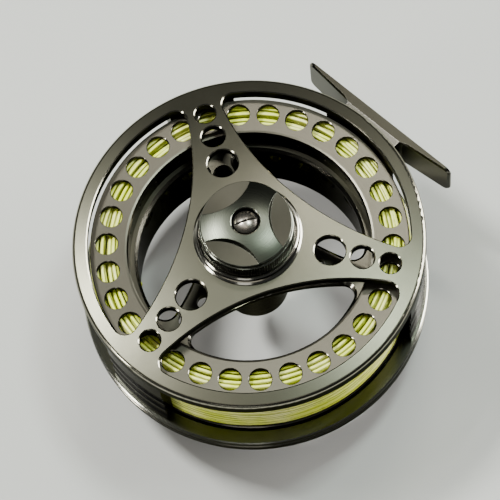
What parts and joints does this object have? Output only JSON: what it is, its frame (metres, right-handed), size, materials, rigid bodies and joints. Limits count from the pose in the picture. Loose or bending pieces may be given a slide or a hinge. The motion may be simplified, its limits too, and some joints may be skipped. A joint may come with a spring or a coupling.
{
  "type": "fly reel",
  "caption": "Large-arbor fly fishing reel: skeleton frame with rod foot, rear disc-drag knob, perforated spool wound with floating line, handle.",
  "frame": {"origin": "centre of the foot's flat seat face, the face that lies on the rod's reel seat", "axes": "+Z along the spool axis towards the drag knob, +Y out of the foot's seat face towards the rod, +X along the foot and the rod"},
  "size_m": [0.1062, 0.1119, 0.0748],
  "materials": {
    "frame_satin": "bead-blasted, titanium-grey anodised, polished chamfers",
    "spool_satin": "bead-blasted, titanium-grey anodised",
    "knob_satin": "fine turned, anodised",
    "knob_bright": "polished",
    "steel": "stainless",
    "hardened_steel": "oil-blackened",
    "dark_cast": "black anodised",
    "friction_carbon": "woven carbon",
    "seal_rubber": "moulded",
    "line_coating": "waxy coated line",
    "backing_braid": "braided",
    "grip_plastic": "turned acetal"
  },
  "bodies": {
    "frame": {"frame_back_plate": "frame_satin", "frame_pillar_left": "frame_satin", "frame_pillar_right": "frame_satin", "frame_pillar_rear": "frame_satin", "foot_bridge": "frame_satin", "frame_front_ring": "frame_satin", "frame_screws": "steel", "reel_foot": "frame_satin", "foot_screws": "steel", "spindle": "steel", "drag_housing": "dark_cast", "housing_screws": "steel", "drag_bezel": "knob_bright", "knob_seal": "seal_rubber", "knob_screw": "steel", "spring_washers": "steel", "drag_plate": "steel", "friction_disc_upper": "friction_carbon", "friction_disc_lower": "friction_carbon", "pawl_post": "steel"},
    "knob": {"drag_knob": "knob_satin"},
    "thrust": {"thrust_ring": "steel", "pressure_washer": "steel"},
    "rotor": {"drag_rotor": "steel", "drive_sleeve": "steel"},
    "spool": {"spool_rear_flange": "spool_satin", "spool_body": "spool_satin", "spool_hub": "spool_satin", "one_way_clutch": "steel", "rear_bearing": "steel", "front_bearing": "steel", "retaining_clip": "steel", "spool_cap": "spool_satin", "fly_line": "line_coating", "line_backing": "backing_braid", "line_knot": "backing_braid", "handle_post": "steel", "handle_screw": "steel", "counterweight": "steel", "click_ratchet": "hardened_steel"},
    "grip": {"handle_grip": "grip_plastic"},
    "pawl": {"click_pawl": "hardened_steel", "click_spring": "steel"}
  },
  "joints": [
    {"name": "spool_spin", "type": "hinge", "parent": "frame", "child": "spool", "pos_m": [0, -0.0588, 0], "axis": [0, 0, 1], "continuous": true},
    {"name": "rotor_spin", "type": "hinge", "parent": "frame", "child": "rotor", "pos_m": [0, -0.0588, 0], "axis": [0, 0, 1], "continuous": true},
    {"name": "drag_knob_turn", "type": "hinge", "parent": "frame", "child": "knob", "pos_m": [0, -0.0588, 0], "axis": [0, 0, 1], "range_deg": [-270, 270]},
    {"name": "thrust_slide", "type": "slide", "parent": "frame", "child": "thrust", "axis": [0, 0, 1], "range_m": [-0.0006, 0.0006], "deforming": ["spring_washers"]},
    {"name": "handle_spin", "type": "hinge", "parent": "spool", "child": "grip", "pos_m": [-0.03681, -0.03755, 0], "axis": [0, 0, 1], "continuous": true},
    {"name": "click_pawl_swing", "type": "hinge", "parent": "frame", "child": "pawl", "pos_m": [0.00958, -0.0438, 0], "axis": [0, 0, 1], "range_deg": [0, 8], "stiffness_Nm_per_rad": 0.002, "springref_deg": -20.05}
  ],
  "couplings": [
    {"joint": "rotor_spin", "follows": "spool_spin", "ratio": 1},
    {"joint": "drag_knob_turn", "follows": "thrust_slide", "rad_per_m": 7853}
  ]
}
